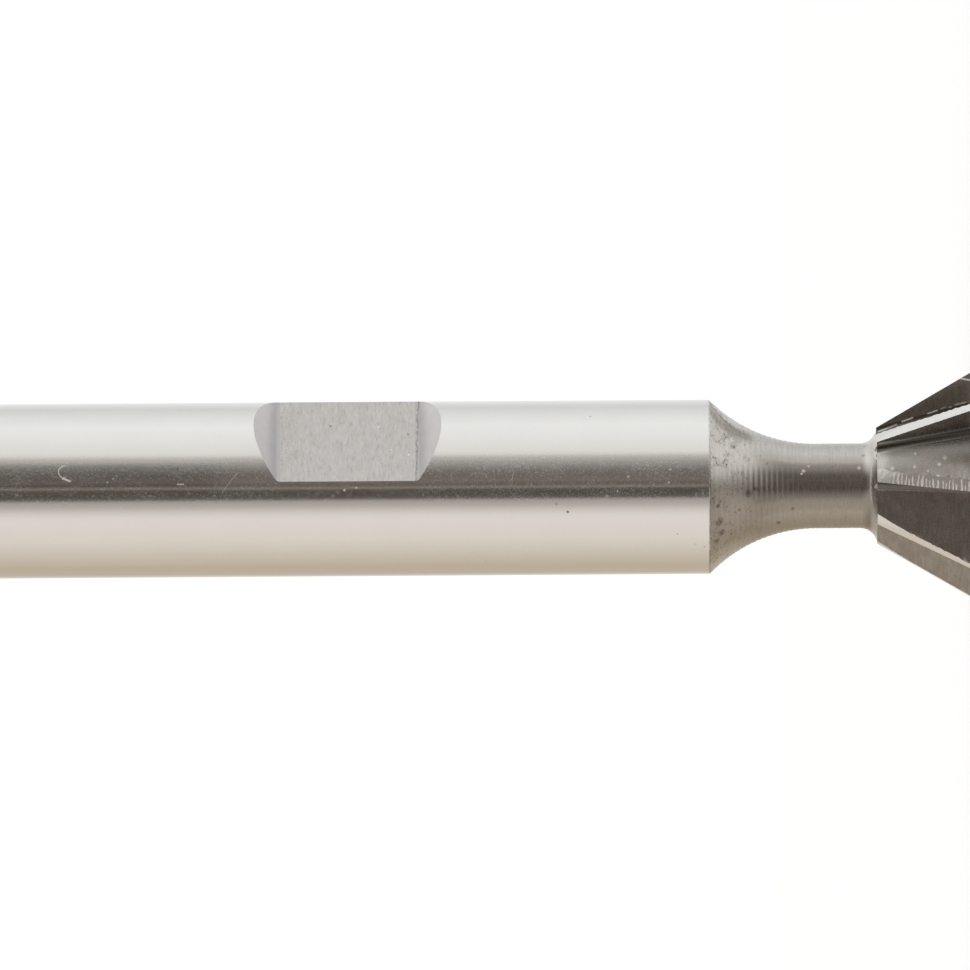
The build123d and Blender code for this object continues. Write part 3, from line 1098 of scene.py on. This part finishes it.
def turned_neck(look):
    """Duller steel with turning marks round it, with stains, a brown coat, painted shade and painted
    highlights, and brighter at the neck's foot.
    """
    height = look.axis("Z")
    ring = look.noise((0.7, 0.7, 9.0), 3.0, 0.6)
    streak = look.noise((2.5, 2.5, 34.0), 3.0, 0.65, 4.0)
    grit = look.noise((7.5, 7.5, 9.0), 3.0, 0.7, 2.0)
    clean = look.vary(ring, 0.3, 0.7)
    steel = look.blend(clean, (0.47, 0.45, 0.425), (0.64, 0.625, 0.60))
    steel = neck_coat_and_painted_light(look, height, steel)
    steel = neck_marks(look, height, streak, grit, steel)
    foot = look.span(height, NECK_START - 0.05, NECK_START - 0.5)
    # Darker towards the low side at the foot
    towards_low_side = look.span(look.along(LOW_SIDE), -1.0, 0.1)
    foot_steel = look.blend(towards_low_side, (0.66, 0.64, 0.61), (0.30, 0.285, 0.26))
    steel = look.blend(foot, steel, foot_steel)
    # Painted light: a pale matt coat that lightens the foot's corner, more towards the low side
    corner = look.span(height, NECK_START - 0.5, NECK_START - 0.72)
    dull_and_painted_light = look.times(corner, look.span(look.along(LOW_SIDE), 1.4, 2.4, 0.17, 0.5))
    pale = look.spots(NECK_PALE_SPECKS, on_neck, 0.5)
    flecked = look.times(pale, look.span(grit, 0.35, 0.55, 0.25, 0.9))
    look.colour(look.dirt_and_painted_light(look.any_of([dull_and_painted_light, flecked]), (0.55, 0.50, 0.44), steel))
    satin = look.vary(streak, 0.24, 0.38)
    look.roughness(look.minus(satin, look.times(foot, 0.14)))
    look.bump((ring, 3.0), (streak, 1.5), (grit, 2.0))


def broken_edge(look):
    """The shank's worn front corner, duller on the low side."""
    nick = look.noise((4.0, 4.0, 4.0), 3.0, 0.6, 5.0)
    clean = look.blend(look.span(nick, 0.35, 0.65), (0.68, 0.66, 0.64), (0.85, 0.84, 0.82))
    worn = look.blend(look.span(nick, 0.35, 0.65), (0.42, 0.39, 0.36), (0.62, 0.59, 0.55))
    look.colour(look.blend(look.span(look.along(LOW_SIDE), -2.0, 0.5), clean, worn))
    look.roughness(look.vary(nick, 0.22, 0.4))
    look.bump((nick, 3.0))


# The scallops across the middle tooth's land: their pitch, and how much they stray from it
SCALLOP_PITCH = 0.21
SCALLOP_STRAY = 17.0


def ground_land(look):
    """Bright ground lands; the middle tooth's is coloured darker as painted shade and scalloped, with
    painted highlights on its scallops.
    """
    outward, backward = tooth_frames()[MIDDLE_TOOTH]
    tick = look.noise((0.9, 0.9, 9.0), 3.0, 0.7, 1.0)
    fine = look.noise((6.0, 6.0, 40.0), 2.0, 0.6, 9.0)
    steel = look.blend(look.span(tick, 0.3, 0.5), (0.755, 0.745, 0.73), (0.81, 0.805, 0.79))
    # On the middle tooth's land: a darker colour for painted shade, and light ticks on its scallops for
    # painted highlights
    facing = look.within(look.minus(6.0, look.along(outward)), 2.6, 0.2)
    behind_edge = look.minus(look.along(backward), RAKE_OFFSET)
    here = look.times(facing, look.within(look.maths("ABSOLUTE", behind_edge), 1.2, 0.1))
    stray = look.times(look.noise((0.6, 0.6, 1.6), 3.0, 0.6, 40.0), SCALLOP_STRAY)
    turn = look.plus(look.times(look.axis("Z"), 2 * math.pi / SCALLOP_PITCH), stray)
    scallop = look.maths("SINE", look.plus(turn, behind_edge))
    reach = look.noise((0.3, 0.3, 4.4), 1.0, 0.5, 44.0)
    low = look.minus(behind_edge, look.span(reach, 0.35, 0.65, 0.0, 0.3))
    bright = look.times(look.span(scallop, 0.05, 0.6), look.span(low, 0.22, 0.36, 1.0, 0.0))
    started = look.span(look.axis("Z"), HEAD_LENGTH - 0.4, HEAD_LENGTH - 1.0)
    plain = look.blend(started, (0.43, 0.41, 0.385), (0.50, 0.475, 0.44))
    marked = look.blend(look.times(bright, started), plain, (0.97, 0.95, 0.92))
    look.colour(look.blend(here, steel, marked))
    look.roughness(look.vary(fine, 0.17, 0.3))
    look.bump((tick, 3.0), (fine, 1.0))


# Painted glints beside the upper land, as the pixels at their ends and their strength
LAND_GLINTS = (
    ((879.0, 431.2), (887.0, 428.2), 0.8),
    ((887.0, 428.2), (897.0, 424.0), 0.6),
    ((902.5, 421.3), (913.0, 417.5), 1.0),
    ((928.5, 413.3), (937.5, 410.2), 0.9),
    ((941.5, 408.5), (945.5, 406.9), 0.5),
    ((950.0, 407.0), (952.0, 406.6), 0.4),
    ((956.0, 404.4), (966.0, 402.0), 0.65),
)

# A painted glint on the top tooth's corner, as the pixels at its ends
CORNER_GLINT = ((961.5, 378.3), (971.0, 379.8))

# Pale specks on the middle tooth's back, as the pixel's x and y and the speck's radius
BACK_SPECKS = (
    (913.3, 466.5, 0.075),
    (936.0, 476.3, 0.11),
    (891.3, 468.1, 0.11),
    (914.4, 453.5, 0.07),
    (943.4, 457.6, 0.12),
    (937.7, 464.0, 0.10),
    (926.5, 470.5, 0.05),
)


# The painted highlight line and the painted shade line along the middle tooth's root, as the pixels at
# their ends
ROOT_LINE = ((879.0, 443.3), (970.0, 427.6))
ROOT_SHADE = ((879.0, 446.4), (970.0, 430.6))


def milled(look):
    """The steel as the gullet cutter left it: its colour and its grain."""
    mark = look.noise((1.4, 1.4, 6.0), 3.0, 0.6, 6.0)
    grain = look.noise((12.0, 12.0, 20.0), 3.0, 0.65, 2.0)
    blot = look.noise((1.1, 1.1, 1.1), 3.0, 0.6, 18.0)
    steel = look.blend(look.vary(mark), (0.33, 0.305, 0.275), (0.41, 0.385, 0.35))
    warm = look.span(blot, 0.48, 0.62, 0.0, 0.5)
    steel = look.blend(warm, steel, (0.33, 0.285, 0.24))
    look.roughness(look.vary(grain, 0.24, 0.36))
    look.bump((mark, 5.0), (grain, 2.0))
    return steel, grain


def below_root(look):
    """How far each place lies under the root's painted shade line in the photograph's plane."""
    start, end = (on_upright(*pixel) for pixel in ROOT_SHADE)
    down = (end - start).normalized().cross(NEAR)
    return look.minus(look.along(down), start.dot(down))


def root_marks(look, steel, painted_glints):
    """Adds the painted highlight line and the painted shade line along a gullet's root, faint painted
    light below them, and the painted glints beside the upper land.
    """
    here = look.behind(MIDDLE_TOOTH)
    # Painted shade and a painted highlight line along the middle gullet's root, and faint painted light
    # below them
    shade = look.times(look.within(look.beside_stroke(*ROOT_SHADE), 0.1, 0.5), here)
    steel = look.blend(look.times(shade, 0.8), steel, (0.05, 0.045, 0.04))
    line = look.times(look.within(look.beside_stroke(*ROOT_LINE), 0.055, 0.7), here)
    film_and_painted_light = look.times(look.span(below_root(look), 0.05, 0.35, 0.0, 0.1), here)
    dull_and_painted_light = [look.times(line, 0.2), film_and_painted_light, *painted_glints]
    # Painted glints beside the upper land
    above = look.behind(UPPER_TOOTH)
    for start, end, strength in LAND_GLINTS:
        glint = look.within(look.beside_stroke(start, end), 0.04, 0.7)
        dull_and_painted_light.append(look.times(look.times(glint, above), strength * 0.7))
    return look.dirt_and_painted_light(look.any_of(dull_and_painted_light), (0.92, 0.91, 0.89), steel)


def milled_rake(look):
    """The rake faces, with painted shade towards their roots and near the middle tooth's rim."""
    steel = milled(look)[0]
    # Painted shade towards the roots, where the faces are enclosed
    steel = look.darken(steel, look.span(look.openness(0.7), 0.1, 0.45, 0.8, 0.95))
    # Painted shade near the rim behind the middle tooth, lighter towards the head's back
    towards_rim = look.span(look.axis("Z"), 0.9, 4.6, -0.33, 0.15, False)
    change = look.times(look.behind(MIDDLE_TOOTH), towards_rim)
    steel = look.darken(steel, look.plus(change, 1.0))
    # A painted glint on the top tooth's corner
    ends = [on_plane(x, y, tooth_frames()[TOP_TOOTH][1], RAKE_OFFSET) for x, y in CORNER_GLINT]
    corner = look.times(look.within(look.from_stroke(*ends), 0.045, 0.6), 0.7)
    look.colour(root_marks(look, steel, [corner]))


def milled_back(look):
    """The tooth backs, with a rough painted highlight strip at the neck, painted shade on the middle one
    and a little on another, and painted light and pale specks on the middle one.
    """
    steel, grain = milled(look)
    # A rough painted highlight strip near the head's back, on the side that faces the camera
    strip = look.times(look.span(look.axis("Z"), 4.95, 5.2), look.around(12, 14, 20))
    painted_light_strip = look.times(strip, look.span(grain, 0.35, 0.6, 0.2, 0.8))
    steel = look.blend(painted_light_strip, steel, (0.60, 0.58, 0.55))
    # Painted shade on the middle tooth's back, more towards the head's back, and a little behind tooth
    # four's heel
    middle = look.behind(MIDDLE_TOOTH)
    low = look.behind(LOWER_TOOTH - 1)
    from_rim = look.span(look.axis("Z"), 0.9, 4.8, 0.02, 0.3, False)
    duller = look.plus(look.times(middle, from_rim), look.times(low, 0.15))
    steel = look.darken(steel, look.minus(1.0, duller))
    # Painted light on the middle tooth's back below its root, strongest near the root, and pale specks
    from_root = below_root(look)
    reach = look.span(look.axis("Z"), 0.9, 4.8, 1.15, 0.38, False)
    share = look.maths("DIVIDE", from_root, reach)
    painted_light_near_root = look.times(look.span(share, 0.0, 0.85), look.span(from_root, 0.8, 1.7, 0.66, 0.0))
    pale_colour = look.blend(look.span(look.axis("Z"), 4.6, 5.2), (0.40, 0.38, 0.355), (0.68, 0.66, 0.63))
    specks = look.any_of(
        [look.within(look.beside_point(x, y), size, 0.6) for x, y, size in BACK_SPECKS]
    )
    pale_colour = look.blend(specks, pale_colour, (0.78, 0.77, 0.73))
    dull_and_painted_light = look.any_of([painted_light_near_root, look.times(specks, 0.55)])
    look.colour(look.dirt_and_painted_light(look.times(dull_and_painted_light, middle), pale_colour, steel))


def milled_root(look):
    """The gullet roots, coloured dark as painted shade in their recesses."""
    steel, grain = milled(look)
    steel = look.blend(look.vary(grain), (0.13, 0.12, 0.105), (0.18, 0.165, 0.15))
    look.colour(root_marks(look, steel, []))


def ground_end(look):
    """The plain ground end face, gashes and recess."""
    mark = look.noise((5.0, 5.0, 5.0), 3.0, 0.6, 3.0)
    look.colour(look.blend(look.vary(mark), (0.46, 0.44, 0.41), (0.6, 0.58, 0.55)))
    look.roughness(look.vary(mark, 0.25, 0.38))
    look.bump((mark, 2.0))


FINISHES = (
    ground_shank,
    milled_flat,
    ground_slope,
    turned_neck,
    broken_edge,
    ground_land,
    milled_rake,
    milled_back,
    milled_root,
    ground_end,
)

make_camera()
make_world()
make_floor()
cutter = make_cutter()
for finish in FINISHES:
    look = Look(finish.__name__)
    finish(look)
    cutter.data.materials.append(look.material)

scene = bpy.context.scene
scene.view_settings.view_transform = "Standard"
